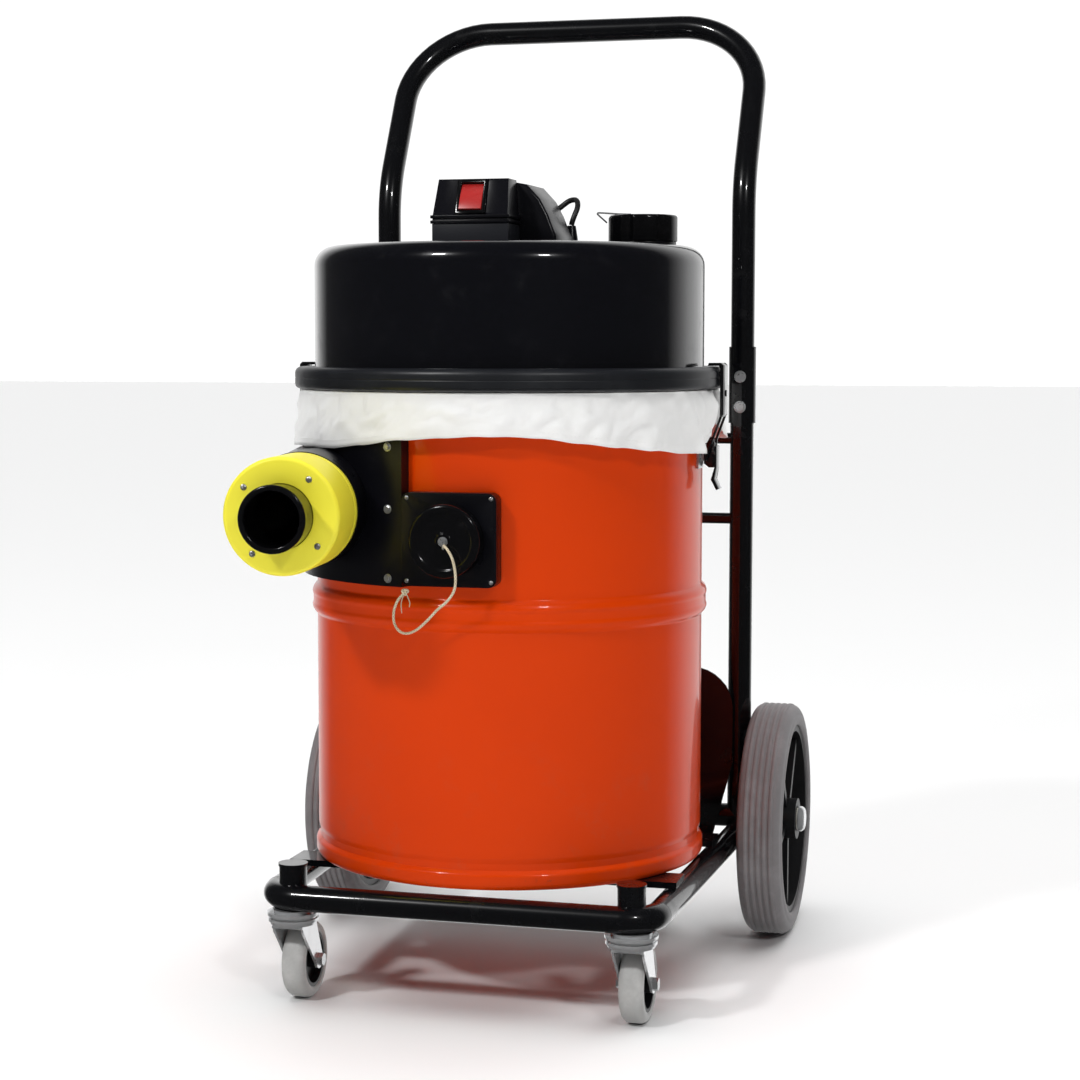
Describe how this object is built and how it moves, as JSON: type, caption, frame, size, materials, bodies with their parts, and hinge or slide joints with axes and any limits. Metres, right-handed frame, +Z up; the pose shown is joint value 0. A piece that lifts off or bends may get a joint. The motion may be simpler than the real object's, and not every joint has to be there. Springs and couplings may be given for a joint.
{
  "type": "drum vacuum on trolley",
  "caption": "Industrial drum vacuum: latched motor head over a steel drum with a side hose inlet, on a tube trolley with large rear wheels, swivel castors and a leaning push handle.",
  "frame": {"origin": "on the floor, midway along the whole object and on its middle plane, directly under the drum's axis", "axes": "+Z up, +Y towards the handle and the big wheels, +X towards the right-hand latch as seen from the inlet's side"},
  "size_m": [0.547, 0.6936, 1.0065],
  "materials": {
    "frame_paint": "gloss",
    "zinc_steel": "satin",
    "bright_chrome": "polished",
    "black_plastic": "satin",
    "castor_rubber": "matt",
    "wheel_rubber": "matt",
    "bush_nylon": "satin",
    "drum_paint": "gloss",
    "housing_plastic": "satin",
    "collar_yellow": "satin",
    "tether_cord": "matt",
    "lever_paint": "gloss",
    "buffer_rubber": "satin",
    "head_paint": "gloss",
    "motor_alloy": "satin",
    "filter_cloth": "matt",
    "switch_red": "gloss",
    "lead_jacket": "satin",
    "black_wire": "satin"
  },
  "bodies": {
    "chassis": {"base_loop": "frame_paint", "left_upright": "frame_paint", "right_upright": "frame_paint", "cross_rods": "frame_paint", "axle_tube": "frame_paint", "rear_plate": "frame_paint", "support_bars": "frame_paint", "handle_sleeves": "frame_paint", "upper_handle": "frame_paint", "sleeve_bolts": "zinc_steel", "castor_posts": "frame_paint", "castor_stems": "bright_chrome", "axle": "zinc_steel", "axle_caps": "zinc_steel", "drum": "drum_paint", "inlet_housing": "housing_plastic", "housing_screws": "zinc_steel", "inlet_collar": "collar_yellow", "collar_screws": "zinc_steel", "inlet_tube": "housing_plastic", "port_plate": "black_plastic", "rivets": "zinc_steel", "latch_bases": "zinc_steel", "buffer_ring": "buffer_rubber", "head_cover": "head_paint", "motor_plate": "zinc_steel", "motor": "motor_alloy", "filter_bag": "filter_cloth", "filter_skirt": "filter_cloth", "switch_box": "black_plastic", "switch_lid": "black_plastic", "switch_bezel": "black_plastic", "rear_cowl": "black_plastic", "lead_gland": "black_plastic", "link_lead": "lead_jacket", "outlet_socket": "black_plastic"},
    "left_wheel": {"left_hub": "black_plastic", "left_tyre": "wheel_rubber", "left_bush": "bush_nylon"},
    "right_wheel": {"right_hub": "black_plastic", "right_tyre": "wheel_rubber", "right_bush": "bush_nylon"},
    "left_castor": {"left_fork": "bright_chrome", "left_castor_bolt": "zinc_steel"},
    "right_castor": {"right_fork": "bright_chrome", "right_castor_bolt": "zinc_steel"},
    "left_castor_wheel": {"left_castor_hub": "black_plastic", "left_castor_tyre": "castor_rubber"},
    "right_castor_wheel": {"right_castor_hub": "black_plastic", "right_castor_tyre": "castor_rubber"},
    "left_lever": {"left_latch_lever": "lever_paint"},
    "right_lever": {"right_latch_lever": "lever_paint"},
    "left_hook": {"left_latch_hook": "lever_paint"},
    "right_hook": {"right_latch_hook": "lever_paint"},
    "blanking_cap": {"port_cap": "black_plastic", "cap_screw": "zinc_steel", "cap_tether": "tether_cord"},
    "rocker": {"rocker_switch": "switch_red"},
    "socket_cap": {"outlet_cap": "black_plastic", "cap_wire": "black_wire"}
  },
  "joints": [
    {"name": "left_wheel_spin", "type": "hinge", "parent": "chassis", "child": "left_wheel", "pos_m": [-0.24, 0.222, 0.125], "axis": [1, 0, 0], "continuous": true},
    {"name": "left_castor_swivel", "type": "hinge", "parent": "chassis", "child": "left_castor", "pos_m": [-0.168, -0.183, 0.087], "axis": [0, 0, 1], "continuous": true},
    {"name": "left_castor_spin", "type": "hinge", "parent": "left_castor", "child": "left_castor_wheel", "pos_m": [-0.168, -0.153, 0.0375], "axis": [1, 0, 0], "continuous": true},
    {"name": "left_latch_lever", "type": "hinge", "parent": "chassis", "child": "left_lever", "pos_m": [-0.206, 0, 0.541], "axis": [0, 1, 0], "range_deg": [0, 150]},
    {"name": "left_latch_hook", "type": "hinge", "parent": "left_lever", "child": "left_hook", "pos_m": [-0.203, 0, 0.528], "axis": [0, 1, 0], "range_deg": [-165, 0]},
    {"name": "right_wheel_spin", "type": "hinge", "parent": "chassis", "child": "right_wheel", "pos_m": [0.24, 0.222, 0.125], "axis": [1, 0, 0], "continuous": true},
    {"name": "right_castor_swivel", "type": "hinge", "parent": "chassis", "child": "right_castor", "pos_m": [0.168, -0.183, 0.087], "axis": [0, 0, 1], "continuous": true},
    {"name": "right_castor_spin", "type": "hinge", "parent": "right_castor", "child": "right_castor_wheel", "pos_m": [0.168, -0.153, 0.0375], "axis": [1, 0, 0], "continuous": true},
    {"name": "right_latch_lever", "type": "hinge", "parent": "chassis", "child": "right_lever", "pos_m": [0.206, 0, 0.541], "axis": [0, -1, 0], "range_deg": [0, 150]},
    {"name": "right_latch_hook", "type": "hinge", "parent": "right_lever", "child": "right_hook", "pos_m": [0.203, 0, 0.528], "axis": [0, -1, 0], "range_deg": [-165, 0]},
    {"name": "blanking_cap_pull", "type": "slide", "parent": "chassis", "child": "blanking_cap", "axis": [0, -1, 0], "range_m": [0, 0.03]},
    {"name": "rocker_tilt", "type": "hinge", "parent": "chassis", "child": "rocker", "pos_m": [-0.009, -0.1055, 0.7825], "axis": [1, 0, 0], "range_deg": [0, 20]},
    {"name": "socket_cap_turn", "type": "hinge", "parent": "chassis", "child": "socket_cap", "pos_m": [0.135, 0.008, 0.75], "axis": [0, 0, 1], "range_deg": [0, 90]}
  ],
  "couplings": [
    {"joint": "left_latch_hook", "follows": "left_latch_lever", "ratio": -1.1},
    {"joint": "right_latch_hook", "follows": "right_latch_lever", "ratio": -1.1}
  ]
}
